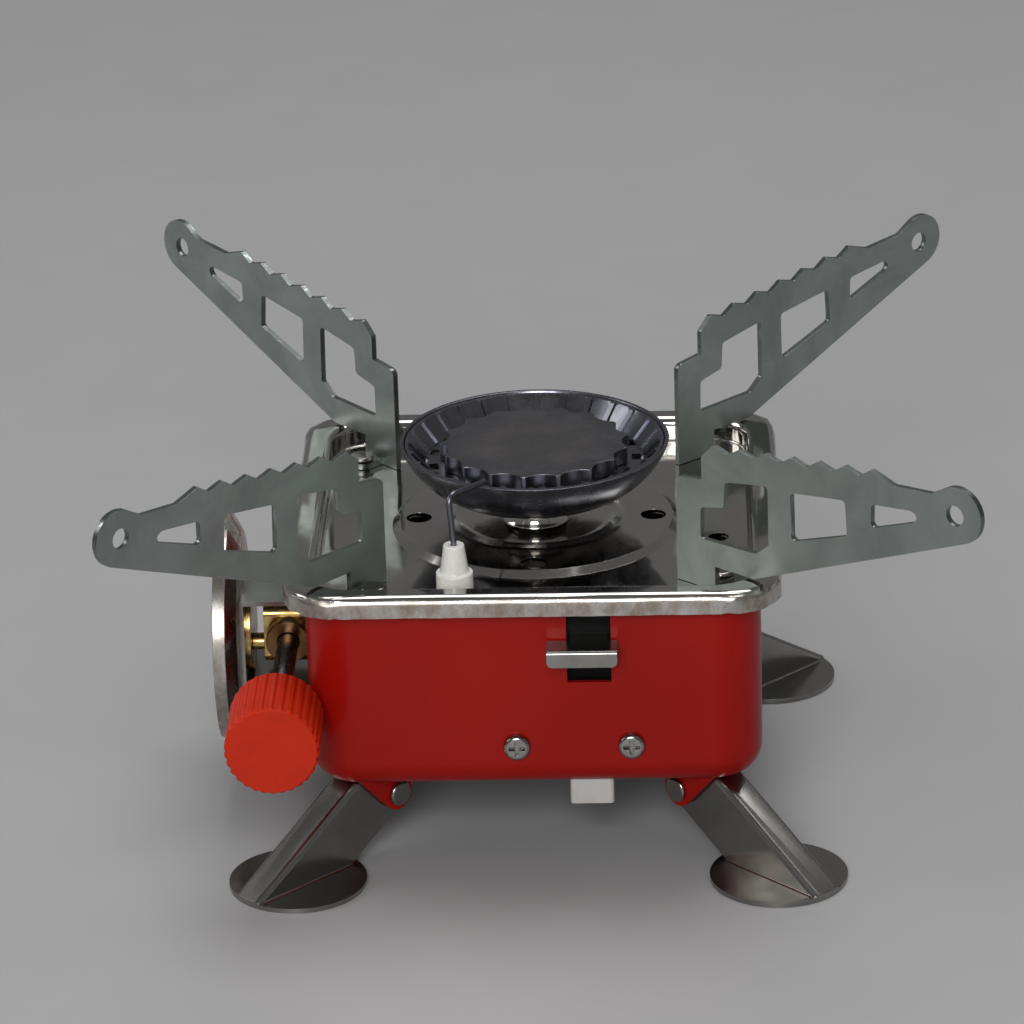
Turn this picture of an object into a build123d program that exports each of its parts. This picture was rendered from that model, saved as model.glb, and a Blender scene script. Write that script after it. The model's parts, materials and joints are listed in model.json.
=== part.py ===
"""Folding camping gas stove, in millimetres.

The origin is on the ground under the burner's axis, +X to the right, +Y to the back and +Z up.
"""
import os
from math import cos, radians, sin, sqrt, tan

from build123d import *

os.makedirs("parts", exist_ok=True)

# Clearances
running_gap = 0.05      # radial play of a pin or shaft in its hole
seat_gap = 0.1          # play between pieces that sit in one another
moving_gap = 0.3        # room beside a piece that swings

# Body shell: a square cup with a curled-in bottom edge
body_half = 43.9
body_corner = 9.5
body_wall = 1.0
body_bottom = 17.9
body_edge = 6.0
body_return = 1.4
opening_corner = 3.0

# Top tray: a dish whose rim folds over the shell's top edge
tray_sheet = 0.8
tray_floor = 55.8
tray_rim_height = 4.7
tray_lip_room = 3.2
tray_lip_corner = 10.5
tray_lip_drop = 4.2
tray_rim_round = 1.8
tray_floor_round = 0.5
emboss_inset = 13.5      # from the tray's inner wall
emboss_rise = 1.2
emboss_slope = 1.5
ridge_radius = 16.0
ridge_half_width = 2.2
ridge_rise = 1.0
vent_inset = 5.3         # from the embossed circle
vent_hole = 2.5
vent_count = 4
drain_inset = 6.0        # from the tray's right wall
drain_forward = 9.0
drain_hole = 2.0

# Legs: a pressed channel, open below, running into a round foot
leg_azimuths = {"front_left": -135.0, "front_right": -45.0, "rear_right": 45.0, "rear_left": 135.0}
leg_pivot_inset = 14.75  # from the shell's corner
leg_pivot_drop = 4.8     # below the shell's bottom
leg_sheet = 1.0
leg_slope = 32.0
leg_top_above_pivot = 9.1
leg_half_width = 3.4
leg_depth = 13.0
leg_bend = 1.2
leg_heel = 3.0           # behind the pivot
foot_radius = 13.4
foot_inset = 15.5        # foot's centre from the end of the channel
ear_sheet = 1.2
ear_radius = 3.5
ear_lean = 7.5           # root on the shell further out than the pivot
rivet_radius = 1.5
rivet_head = 2.5
rivet_head_height = 1.0

# Pot supports: toothed blades on bent feet
blade_sheet = 1.2
blade_inset = 16.05      # inner edge from the tray's corner
blade_pivot_along = 7.0
blade_pivot_offset = 4.0
blade_turned = {"front_left": 2.7, "front_right": 4.2, "rear_right": -3.1, "rear_left": -2.0}
ledge_height = 16.9      # heights of the blade are above the tray's rim, lengths from its inner edge
ledge_length = 6.4
ledge_rise = 0.8
step_rise = 4.8
tooth_first = (9.3, 25.3)
tooth_count = 7
tooth_pitch = 6.42
tooth_climb = 0.82
tooth_back = 3.6
tooth_drop = 1.0
tooth_round = 0.5
ledge_round = 1.5
step_round = 1.0
neck_points = [(53.2, 28.5), (62.0, 29.2)]
tip_centre = (68.1, 26.4)
tip_radius = 5.5
tip_bump_angle = 125.0
tip_hole_at = (67.55, 26.2)
tip_hole = 2.0
blade_slope = 22.3
window_round = 0.9
window_inner = [(6.0, 5.4), (6.1, 11.9), (11.9, 13.2), (12.2, 18.6), (22.8, 20.5), (23.0, 8.4), (19.8, 5.8)]
window_middle = [(28.4, 20.6), (28.6, 10.7), (42.1, 15.4), (41.6, 22.5)]
window_outer = [(47.9, 23.4), (47.8, 18.5), (58.0, 22.3), (59.1, 23.7), (57.4, 24.5)]
foot_tab_half = 2.6

# Burner head and the gas path below it
bowl_radius = 26.6
bowl_depth = 11.1
bowl_sheet = 0.8
bowl_flat = 9.0
bowl_bulge = 3.6
ring_clear = 0.2         # flame ring from the bowl's inner wall
ring_lean = 1.0          # ring's foot further in than the wall
ring_sheet = 0.6
ring_height = 4.4
ring_below_rim = 0.3
rib_count = 28
rib_width = 1.1
rib_rise = 0.5
port_length = 1.8
port_width = 3.0
shelf_under_cap = 1.0    # shelf's reach under the cap, from the flutes' bottoms
cap_inset = 2.85         # flame channel between the ring's foot and the cap
cap_below_rim = 0.6
flute_count = 17
flute_radius = 4.5
flute_depth = 1.4
collar_radius = 6.85
collar_waist = 5.9
collar_height = 5.4
tube_radius = 4.2
tube_wall = 0.8
tube_bend = 12.0
tube_mouth_gap = 1.5     # air gap between the jet and the tube
tube_flange = 6.2
locknut_flats = 13.0
locknut_height = 3.0

# Gas valve on the left wall, its stem pointing to the front
gas_rise = 16.6          # gas axis above the shell's bottom
valve_reach = 10.7       # outside the shell's left wall
valve_block_half = 6.0
valve_block_corner = 2.0
valve_flange_radius = 6.5
valve_flange = 2.1
valve_neck = 4.0
valve_neck_length = 5.9
valve_nut_flats = 12.0
valve_nut_length = 2.5
gas_bore = 1.2
jet_radius = 2.0
jet_shoulder = 2.8
jet_length = 3.5
jet_engagement = 3.0
stem_reach = 5.7         # outside the shell's left wall
stem_radius = 2.1
stem_boss = 4.2
stem_boss_length = 0.6
stem_start = -0.5
seal_section = 0.55
seal_behind = 0.9
gland_radius = 4.4
gland_length = 3.0
inlet_radius = 1.7
inlet_offset = (-4.0, -2.0)

# Knob on the stem
knob_radius = 9.1
knob_inset = 7.4         # rear end from the shell's front wall
knob_length = 23.8
knob_dome = 7.5
knob_rear_radius = 3.4
knob_dome_middle = (2.9, 6.2)
knob_ridges = 30
knob_groove = 0.62
knob_groove_out = 0.2
knob_edge = 0.6
knob_bore_depth = 18.0

# Cartridge connector and its bracket
flange_reach = 15.1      # outside the shell's left wall
flange_depth = 4.5
flange_sheet = 0.8
flange_radius = 22.5
flange_flat = 19.0
flange_bend = 2.0
flange_slot = 7.0
flange_slot_depth = 8.0
nose_radius = 6.8
nose_seat = 7.1
nose_length = 3.0
nose_boss = 9.0
nose_boss_length = 2.0
nose_bore = 2.5
connector_seal_radius = 5.5
connector_seal_height = 0.9
bracket_sheet = 1.0
bracket_half_width = 12.0
bracket_half_height = 10.0
bracket_top_tab = 6.5
bracket_bottom_tab = 5.5
bracket_rivet = 1.0
bracket_rivet_head = 1.5
bracket_rivet_head_height = 0.7
bracket_rivet_out = 9.0
bracket_rivet_edge = 2.4

# Piezo igniter behind the front wall
lever_middle = 10.75
case_width = 8.5
case_behind_wall = 2.5
case_depth = 6.8
case_drop = 4.7          # below the shell's bottom
case_corner = 0.8
case_floor = 2.5
case_bore_radius = 2.6
plunger_width = 5.5
plunger_depth = 4.8
plunger_engagement = 6.0
lever_travel = 5.0
lever_below_rim = 11.7
lever_sheet = 1.0
lever_neck = 7.5
lever_tab = 13.6
lever_tab_offset = -1.25
lever_reach = 6.1        # outside the shell's front wall
lever_stand_off = 0.5
lever_lip = 2.4
lever_round = 1.2
lever_bend = 0.8
slot_side = 0.5
slot_spare = 2.6         # below the pressed lever
slot_below_tray = 0.2
guard_overlap = 1.0      # upright guard past the slot's edges
guard_room = 1.0         # guard from the shell's front wall
spring_outer = 2.2
spring_wall = 0.6
spring_pressed = 1.9
piezo_length = 8.0
hammer_gap = 2.0
screw_offsets = (-14.25, 7.85)
screw_rise = 9.5         # above the shell's bottom
screw_radius = 1.4
screw_head = 2.6
screw_head_height = 1.6
screw_length = 5.0
screw_cross = 0.7
screw_cross_length = 3.1
screw_cross_depth = 0.9
strap_sheet = 1.0
strap_half_height = 3.4
strap_margin = 4.5

# Spark electrode
electrode_left = 14.9
electrode_inset = 7.25   # from the tray's front wall
insulator_below = 5.0    # under the tray
insulator_stem = 2.6
insulator_base = 3.6
insulator_base_height = 4.5
insulator_height = 10.2
insulator_top_radius = 2.0
insulator_collar = 2.8
electrode_radius = 0.6
electrode_lean = 0.8
electrode_bend_rise = 2.5
tip_azimuth = -109.2
tip_clear = 0.4          # from the bowl's rim
tip_rise = 1.5
electrode_bend = 1.8
electrode_lean_bend = 8.0
clip_radius = 4.6
clip_sheet = 0.6
lead_radius = 1.0
lead_below_case_top = 6.5
lead_bend = 9.0

# Heights and places that follow from the sizes above
wall_inside = body_half - body_wall
opening_half = body_half - body_edge - body_return
body_corner_out = (body_half - body_corner) * sqrt(2) + body_corner
rim_top = tray_floor + tray_rim_height
body_top = rim_top - tray_sheet - seat_gap
tray_inner = body_half - body_wall - seat_gap - tray_sheet
tray_inner_corner = body_corner - body_wall - seat_gap - tray_sheet
tray_corner_out = (tray_inner - tray_inner_corner) * sqrt(2) + tray_inner_corner
lip_half = body_half + tray_lip_room + tray_sheet
lip_bottom = rim_top - tray_lip_drop
tray_under = tray_floor - tray_sheet
emboss_radius = tray_inner - emboss_inset
vent_radius = emboss_radius - vent_inset
drain_at = (tray_inner - drain_inset, -drain_forward)
deck_top = tray_floor + emboss_rise
deck_under = deck_top - tray_sheet
rivet_hole = rivet_radius + running_gap
leg_pivot_out = body_corner_out - leg_pivot_inset
leg_pivot_height = body_bottom - leg_pivot_drop
leg_top_out = leg_pivot_out + leg_top_above_pivot * sin(radians(leg_slope))
leg_top_height = leg_pivot_height + leg_top_above_pivot * cos(radians(leg_slope))
foot_out = leg_top_out + leg_top_height / tan(radians(leg_slope)) - foot_inset
leg_length = leg_heel + (leg_top_height + leg_depth) / sin(radians(leg_slope))
ear_inner = leg_half_width + moving_gap
ear_outer = ear_inner + ear_sheet
blade_inner = tray_corner_out - blade_inset
blade_pivot_out = blade_inner + blade_pivot_along
foot_bottom = tray_floor + seat_gap
foot_top = foot_bottom + blade_sheet
bowl_bottom = deck_top + collar_height
bowl_top = bowl_bottom + bowl_depth
gas_height = body_bottom + gas_rise
valve_left = -body_half - valve_reach
valve_neck_end = -body_half + valve_neck_length
jet_tip = valve_neck_end + jet_length
tube_mouth = jet_tip + tube_mouth_gap
stem_at = -body_half - stem_reach
stem_boss_end = -valve_block_half - stem_boss_length
inlet_at = (inlet_offset[0], gas_height + inlet_offset[1])
knob_rear = knob_inset - body_half
knob_face = knob_rear - knob_length
knob_shoulder = knob_rear - knob_dome
flange_back = -body_half - flange_reach
flange_front = flange_back - flange_depth
bracket_top = gas_height + bracket_half_height
bracket_low = gas_height - bracket_half_height
bracket_rivets_at = [(y, z) for y in (-bracket_rivet_out, bracket_rivet_out)
                     for z in (bracket_top + bracket_top_tab - bracket_rivet_edge,
                               bracket_low + bracket_bottom_tab - bracket_rivet_edge)]
lever_height = rim_top - lever_below_rim
lever_front = -body_half - lever_reach
lever_tab_back = -body_half - lever_stand_off
slot_bottom = lever_height - lever_travel - slot_spare - lever_sheet / 2
slot_height = tray_under - slot_below_tray - slot_bottom
slot_width = lever_neck + 2 * slot_side
guard_bottom = slot_bottom - guard_overlap
guard_height = tray_under - moving_gap - guard_bottom
case_left = lever_middle - case_width / 2
case_front = -wall_inside + case_behind_wall
case_back = case_front + case_depth
case_centre = (lever_middle, (case_front + case_back) / 2)
case_bottom = body_bottom - case_drop
case_bore_bottom = case_bottom + case_floor
case_top = lever_height - lever_travel - moving_gap
plunger_bottom = case_top - plunger_engagement
spring_seat = plunger_bottom - lever_travel - spring_pressed
piezo_top = case_bore_bottom + piezo_length
hammer_bottom = piezo_top + hammer_gap
screw_at = [lever_middle + offset for offset in screw_offsets]
screw_height = body_bottom + screw_rise
insulator_foot = tray_under - insulator_below
insulator_shoulder = tray_floor + insulator_base_height
insulator_top = tray_floor + insulator_height
lead_height = case_top - lead_below_case_top
gas_axis = Axis((0, 0, gas_height), (1, 0, 0))
stem_axis = Axis((stem_at, 0, gas_height), (0, 1, 0))
gas_plane = Plane((0, 0, gas_height), x_dir=(1, 0, 0), z_dir=(0, -1, 0))
stem_plane = Plane((stem_at, 0, gas_height), x_dir=(0, 1, 0), z_dir=(1, 0, 0))


def heading(azimuth):
    """Unit vector along the ground at an azimuth in degrees."""
    return Vector(cos(radians(azimuth)), sin(radians(azimuth)), 0)


def leg_plane(azimuth):
    """Upright plane through the burner's axis: x is the distance out, y the height."""
    out = heading(azimuth)
    return Plane((0, 0, 0), x_dir=out, z_dir=(out.Y, -out.X, 0))


def blade_pivot(azimuth):
    """Place on the ground below the rivet that the blade at this azimuth turns on."""
    return heading(azimuth) * blade_pivot_out + heading(azimuth + 90) * blade_pivot_offset


def bowl_inside(height):
    """Radius of the bowl's inner wall at a height, on the arc between its floor and its rim."""
    floor_edge = Vector(bowl_flat, bowl_bottom + bowl_sheet)
    chord = Vector(bowl_radius - bowl_sheet, bowl_top) - floor_edge
    arc_radius = (chord.length ** 2 / 4 + bowl_bulge ** 2) / (2 * bowl_bulge)
    across = Vector(-chord.Y, chord.X).normalized()
    centre = floor_edge + chord / 2 + across * (arc_radius - bowl_bulge)
    return centre.X + sqrt(arc_radius ** 2 - (height - centre.Y) ** 2)


ring_top = bowl_top - ring_below_rim
ring_bottom = ring_top - ring_height
ring_floor = ring_bottom + ring_sheet
ring_top_radius = bowl_inside(ring_top) - ring_clear
ring_foot_radius = bowl_inside(ring_bottom) - ring_clear - ring_lean
cap_radius = ring_foot_radius - ring_sheet - cap_inset
shelf_inner = cap_radius - flute_depth - shelf_under_cap
cap_top = bowl_top - cap_below_rim
electrode_at = (-electrode_left, electrode_inset - tray_inner)
electrode_tip = heading(tip_azimuth) * (bowl_radius + tip_clear) + Vector(0, 0, bowl_top + tip_rise)
electrode_bend_height = bowl_top + electrode_bend_rise


# Space inside the body shell
with BuildPart() as shell_space:
    with BuildSketch(Plane.XY.offset(body_bottom + body_wall)):
        RectangleRounded(2 * wall_inside, 2 * wall_inside, body_corner - body_wall)
    extrude(amount=body_top - body_bottom)
    fillet(shell_space.faces().sort_by(Axis.Z)[0].edges(), body_edge - body_wall)

# Body shell
with BuildPart() as body_shell:
    with BuildSketch(Plane.XY.offset(body_bottom)):
        RectangleRounded(2 * body_half, 2 * body_half, body_corner)
    extrude(amount=body_top - body_bottom)
    fillet(body_shell.faces().sort_by(Axis.Z)[0].edges(), body_edge)
    for azimuth in leg_azimuths.values():
        for side in (ear_inner, -ear_outer):
            with BuildSketch(leg_plane(azimuth).offset(side)):
                with Locations((leg_pivot_out, leg_pivot_height),
                               (leg_pivot_out + ear_lean, body_bottom + ear_radius)):
                    Circle(ear_radius)
                make_hull()
            extrude(amount=ear_sheet)
    add(shell_space.part, mode=Mode.SUBTRACT)
    with BuildSketch(Plane.XY.offset(body_bottom)):
        RectangleRounded(2 * opening_half, 2 * opening_half, opening_corner)
        with Locations(case_centre):
            Rectangle(case_width + 2 * moving_gap, case_depth + 2 * moving_gap)
    extrude(amount=body_edge, mode=Mode.SUBTRACT)
    with BuildSketch(Plane.XZ.offset(body_half)):
        with Locations((lever_middle, slot_bottom)):
            Rectangle(slot_width, slot_height, align=(Align.CENTER, Align.MIN))
        for x in screw_at:
            with Locations((x, screw_height)):
                Circle(screw_radius + seat_gap)
    extrude(amount=-2 * body_wall, mode=Mode.SUBTRACT)
    with BuildSketch(Plane.YZ.offset(-body_half)):
        with Locations((0, gas_height)):
            Circle(valve_neck + seat_gap)
        with Locations(*bracket_rivets_at):
            Circle(bracket_rivet)
    extrude(amount=2 * body_wall, mode=Mode.SUBTRACT)
    for azimuth in leg_azimuths.values():
        with BuildSketch(leg_plane(azimuth)):
            with Locations((leg_pivot_out, leg_pivot_height)):
                Circle(rivet_hole)
        extrude(amount=2 * ear_outer, both=True, mode=Mode.SUBTRACT)
body_shell.part.label = "body_shell"
export_step(body_shell.part, "parts/body_shell.step")

# Top tray
with BuildPart() as top_tray:
    with BuildSketch(Plane.XY.offset(tray_under)):
        RectangleRounded(2 * lip_half, 2 * lip_half, tray_lip_corner)
    extrude(amount=rim_top - tray_under)
    with BuildSketch(Plane.XY.offset(tray_floor)):
        RectangleRounded(2 * tray_inner, 2 * tray_inner, tray_inner_corner)
    extrude(amount=tray_rim_height, mode=Mode.SUBTRACT)
    fillet(top_tray.faces().sort_by(Axis.Z)[-1].edges(), tray_rim_round)
    fillet(top_tray.faces().filter_by_position(Axis.Z, tray_floor, tray_floor).edges(), tray_floor_round)
    with BuildSketch(Plane.XY.offset(tray_under)):
        wide = 2 * (lip_half - tray_sheet)
        RectangleRounded(wide, wide, tray_lip_corner - tray_sheet)
        narrow = 2 * (tray_inner + tray_sheet)
        RectangleRounded(narrow, narrow, tray_inner_corner + tray_sheet, mode=Mode.SUBTRACT)
    extrude(amount=rim_top - tray_sheet - tray_under, mode=Mode.SUBTRACT)
    with BuildSketch(Plane.XY.offset(tray_under)):
        Rectangle(3 * lip_half, 3 * lip_half)
        RectangleRounded(narrow, narrow, tray_inner_corner + tray_sheet, mode=Mode.SUBTRACT)
    extrude(amount=lip_bottom - tray_under, mode=Mode.SUBTRACT)
    with BuildSketch(Plane.XY.offset(tray_under)):
        Circle(emboss_radius)
    extrude(amount=tray_sheet, mode=Mode.SUBTRACT)
    with BuildSketch(Plane.XZ):
        hole = tube_radius + seat_gap
        upper = [(emboss_radius, tray_floor), (emboss_radius - emboss_slope, deck_top),
                 (ridge_radius + ridge_half_width, deck_top), (ridge_radius, deck_top + ridge_rise),
                 (ridge_radius - ridge_half_width, deck_top), (hole, deck_top)]
        with BuildLine():
            Polyline(*upper, *[(x, z - tray_sheet) for x, z in reversed(upper)], close=True)
        make_face()
    revolve(axis=Axis.Z)
    with BuildSketch(Plane.XY.offset(tray_under)):
        with PolarLocations(vent_radius, vent_count):
            Circle(vent_hole)
        with Locations(drain_at):
            Circle(drain_hole)
        with Locations(electrode_at):
            Circle(insulator_stem + seat_gap)
        for azimuth in leg_azimuths.values():
            pivot = blade_pivot(azimuth)
            with Locations((pivot.X, pivot.Y)):
                Circle(rivet_hole)
    extrude(amount=deck_top + ridge_rise - tray_under, mode=Mode.SUBTRACT)
top_tray.part.label = "top_tray"
export_step(top_tray.part, "parts/top_tray.step")

# Legs
for name, azimuth in leg_azimuths.items():
    plane = leg_plane(azimuth)
    start = heading(azimuth) * leg_top_out + Vector(0, 0, leg_top_height)
    down = heading(azimuth) * cos(radians(leg_slope)) - Vector(0, 0, sin(radians(leg_slope)))
    with BuildPart() as leg:
        with BuildSketch(Plane(start - down * leg_heel, x_dir=plane.z_dir, z_dir=down)) as channel:
            Rectangle(2 * leg_half_width, leg_depth, align=(Align.CENTER, Align.MIN))
            fillet(channel.vertices().group_by(Axis.Y)[0], leg_bend)
            with Locations((0, leg_sheet)):
                Rectangle(2 * (leg_half_width - leg_sheet), leg_depth, align=(Align.CENTER, Align.MIN),
                          mode=Mode.SUBTRACT)
        extrude(amount=leg_length)
        with BuildSketch(Plane.XY.offset(body_bottom - moving_gap)):
            with Locations(tuple(heading(azimuth) * leg_top_out)):
                Rectangle(4 * leg_depth, 4 * leg_depth)
        extrude(amount=2 * leg_depth, mode=Mode.SUBTRACT)
        with BuildSketch(Plane.XY):
            with Locations(tuple(heading(azimuth) * foot_out)):
                Rectangle(4 * foot_radius, 4 * foot_radius)
                Circle(foot_radius, mode=Mode.SUBTRACT)
        extrude(amount=2 * leg_sheet, mode=Mode.SUBTRACT)
        with BuildSketch(Plane.XY):
            with Locations(tuple(heading(azimuth) * foot_out)):
                Circle(foot_radius)
        extrude(amount=leg_sheet)
        with BuildSketch(Plane.XY):
            with Locations(tuple(heading(azimuth) * foot_out)):
                Rectangle(4 * leg_length, 4 * leg_length)
        extrude(amount=-2 * leg_length, mode=Mode.SUBTRACT)
        with BuildSketch(plane):
            with Locations((leg_pivot_out, leg_pivot_height)):
                Circle(rivet_hole)
        extrude(amount=2 * leg_half_width, both=True, mode=Mode.SUBTRACT)
    leg.part.label = f"leg_{name}"
    export_step(leg.part, f"parts/leg_{name}.step")

# Leg rivets
with BuildPart() as leg_rivets:
    for azimuth in leg_azimuths.values():
        with BuildSketch(leg_plane(azimuth)):
            with Locations((leg_pivot_out, leg_pivot_height)):
                Circle(rivet_radius)
        extrude(amount=ear_outer, both=True)
        for side in (ear_outer, -ear_outer - rivet_head_height):
            with BuildSketch(leg_plane(azimuth).offset(side)):
                with Locations((leg_pivot_out, leg_pivot_height)):
                    Circle(rivet_head)
            extrude(amount=rivet_head_height)
leg_rivets.part.label = "leg_rivets"
export_step(leg_rivets.part, "parts/leg_rivets.step")

# Pot supports
tip_low_angle = blade_slope - 90
tip_bump, tip_nose, tip_end = [
    (tip_centre[0] + tip_radius * cos(radians(angle)), tip_centre[1] + tip_radius * sin(radians(angle)))
    for angle in (tip_bump_angle, (tip_bump_angle + tip_low_angle) / 2, tip_low_angle)]
notch_height = moving_gap + seat_gap
foot_low = foot_bottom - rim_top
notch_end = tip_end[0] - (tip_end[1] - notch_height) / tan(radians(blade_slope))
foot_outer = blade_pivot_along + foot_tab_half
step_top = ledge_height + ledge_rise + step_rise
teeth = []
for i in range(tooth_count):
    peak = (tooth_first[0] + i * tooth_pitch, tooth_first[1] + i * tooth_climb)
    teeth.append(peak)
    if i < tooth_count - 1:
        teeth.append((peak[0] + tooth_back, peak[1] - tooth_drop))


def is_tooth(corner):
    """Whether a corner of the blade's outline is the tip or the root of a tooth."""
    margin = tooth_back / 2
    return teeth[0][0] - margin < corner.X < teeth[-1][0] + margin and corner.Y > step_top


for name, azimuth in leg_azimuths.items():
    pivot = blade_pivot(azimuth)
    out = heading(azimuth + blade_turned[name])
    across = heading(azimuth + blade_turned[name] + 90)
    blade_origin = pivot - across * blade_pivot_offset - out * blade_pivot_along + Vector(0, 0, rim_top)
    with BuildPart() as support:
        with BuildSketch(Plane(blade_origin, x_dir=out, z_dir=-across)) as outline:
            with BuildLine():
                top_edge = [(0, foot_low), (0, ledge_height), (ledge_length, ledge_height + ledge_rise),
                            (ledge_length, step_top), *teeth, *neck_points, tip_bump]
                Polyline(*top_edge)
                ThreePointArc(tip_bump, tip_nose, tip_end)
                Polyline(tip_end, (notch_end, notch_height), (foot_outer, notch_height),
                         (foot_outer, foot_low), (0, foot_low))
            make_face()
            fillet(outline.vertices().filter_by(is_tooth), tooth_round)
            fillet(outline.vertices().sort_by_distance((0, ledge_height))[0], ledge_round)
            fillet(outline.vertices().sort_by_distance((ledge_length, step_top))[0], step_round)
            for window in (window_inner, window_middle, window_outer):
                with BuildSketch(mode=Mode.PRIVATE) as opening:
                    with BuildLine():
                        Polyline(*window, close=True)
                    make_face()
                    fillet(opening.vertices(), window_round)
                add(opening.sketch, mode=Mode.SUBTRACT)
            with Locations(tip_hole_at):
                Circle(tip_hole, mode=Mode.SUBTRACT)
        extrude(amount=blade_sheet / 2, both=True)
        with BuildSketch(Plane(pivot + Vector(0, 0, foot_bottom), x_dir=out, z_dir=(0, 0, 1))):
            Circle(foot_tab_half)
            Rectangle(2 * foot_tab_half, blade_pivot_offset, align=(Align.CENTER, Align.MAX))
        extrude(amount=blade_sheet)
        with BuildSketch(Plane(pivot + Vector(0, 0, foot_bottom), x_dir=out, z_dir=(0, 0, 1))):
            Circle(rivet_hole)
        extrude(amount=blade_sheet, mode=Mode.SUBTRACT)
    support.part.label = f"pot_support_{name}"
    export_step(support.part, f"parts/pot_support_{name}.step")

# Support rivets
with BuildPart() as support_rivets:
    for azimuth in leg_azimuths.values():
        pivot = blade_pivot(azimuth)
        with BuildSketch(Plane(pivot + Vector(0, 0, tray_under), z_dir=(0, 0, 1))):
            Circle(rivet_radius)
        extrude(amount=foot_top + seat_gap - tray_under)
        with BuildSketch(Plane(pivot + Vector(0, 0, foot_top + seat_gap), z_dir=(0, 0, 1))):
            Circle(rivet_head)
        extrude(amount=rivet_head_height)
        with BuildSketch(Plane(pivot + Vector(0, 0, tray_under), z_dir=(0, 0, -1))):
            Circle(rivet_head)
        extrude(amount=rivet_head_height)
support_rivets.part.label = "support_rivets"
export_step(support_rivets.part, "parts/support_rivets.step")

# Burner bowl
with BuildPart() as burner_bowl:
    with BuildSketch(Plane.XZ):
        with BuildLine():
            hole = tube_radius + seat_gap
            Polyline((hole, bowl_bottom + bowl_sheet), (hole, bowl_bottom), (bowl_flat, bowl_bottom))
            SagittaArc((bowl_flat, bowl_bottom), (bowl_radius, bowl_top), -bowl_bulge)
            Line((bowl_radius, bowl_top), (bowl_radius - bowl_sheet, bowl_top))
            floor_edge = (bowl_flat, bowl_bottom + bowl_sheet)
            SagittaArc((bowl_radius - bowl_sheet, bowl_top), floor_edge, bowl_bulge)
            Line(floor_edge, (hole, bowl_bottom + bowl_sheet))
        make_face()
    revolve(axis=Axis.Z)
burner_bowl.part.label = "burner_bowl"
export_step(burner_bowl.part, "parts/burner_bowl.step")

# Flame ring: a ribbed lining of the bowl's wall with a shelf for the cap
with BuildPart() as flame_ring:
    wall_top = ring_top_radius - ring_sheet
    wall_foot = ring_foot_radius - ring_sheet
    with BuildSketch(Plane.XZ):
        with BuildLine():
            Polyline((ring_foot_radius, ring_bottom), (ring_top_radius, ring_top), (wall_top, ring_top),
                     (wall_foot, ring_floor), (shelf_inner, ring_floor),
                     (shelf_inner, ring_bottom), close=True)
        make_face()
    revolve(axis=Axis.Z)
    for i in range(rib_count):
        with BuildSketch(leg_plane(i * 360 / rib_count)):
            with BuildLine():
                Polyline((wall_top + ring_sheet / 2, ring_top), (wall_top - rib_rise, ring_top),
                         (wall_foot - rib_rise, ring_floor), (wall_foot, ring_floor - ring_sheet / 2),
                         close=True)
            make_face()
        extrude(amount=rib_width / 2, both=True)
    with BuildSketch(Plane.XY.offset(ring_bottom)):
        with PolarLocations(cap_radius + cap_inset / 2, flute_count):
            Rectangle(port_length, port_width)
    extrude(amount=ring_sheet, mode=Mode.SUBTRACT)
flame_ring.part.label = "flame_ring"
export_step(flame_ring.part, "parts/flame_ring.step")

# Burner cap: a solid fluted disc that stands on the ring's shelf
with BuildPart() as burner_cap:
    with BuildSketch(Plane.XY.offset(ring_floor + seat_gap)):
        Circle(cap_radius)
        with PolarLocations(cap_radius - flute_depth + flute_radius, flute_count):
            Circle(flute_radius, mode=Mode.SUBTRACT)
    extrude(amount=cap_top - ring_floor - seat_gap)
burner_cap.part.label = "burner_cap"
export_step(burner_cap.part, "parts/burner_cap.step")

# Bright collar between the tray and the bowl
with BuildPart() as burner_collar:
    with BuildSketch(Plane.XZ):
        with BuildLine():
            hole = tube_radius + running_gap
            middle = (deck_top + bowl_bottom) / 2
            Polyline((collar_radius, bowl_bottom), (hole, bowl_bottom), (hole, deck_top),
                     (collar_radius, deck_top))
            ThreePointArc((collar_radius, deck_top), (collar_waist, middle), (collar_radius, bowl_bottom))
        make_face()
    revolve(axis=Axis.Z)
burner_collar.part.label = "burner_collar"
export_step(burner_collar.part, "parts/burner_collar.step")

# Mixing tube: from the jet to the burner
tube_top = bowl_bottom + bowl_sheet
tube_end = Plane((0, 0, tube_top + tube_wall), x_dir=(1, 0, 0), z_dir=(0, 0, -1))
with BuildPart() as mixing_tube:
    with BuildLine() as tube_path:
        FilletPolyline((0, 0, tube_top + tube_wall), (0, 0, gas_height), (tube_mouth, 0, gas_height),
                       radius=tube_bend)
    with BuildSketch(tube_end):
        Circle(tube_radius)
    sweep(path=tube_path.wires()[0])
    with BuildSketch(tube_end):
        Circle(tube_flange)
    extrude(amount=tube_wall)
    with BuildSketch(tube_end):
        Circle(tube_radius - tube_wall)
    sweep(path=tube_path.wires()[0], mode=Mode.SUBTRACT)
mixing_tube.part.label = "mixing_tube"
export_step(mixing_tube.part, "parts/mixing_tube.step")

# Locknut under the tray
with BuildPart() as burner_locknut:
    with BuildSketch(Plane.XY.offset(deck_under - locknut_height)):
        RegularPolygon(locknut_flats / 2, 6, major_radius=False)
        Circle(tube_radius + running_gap, mode=Mode.SUBTRACT)
    extrude(amount=locknut_height)
burner_locknut.part.label = "burner_locknut"
export_step(burner_locknut.part, "parts/burner_locknut.step")

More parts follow.
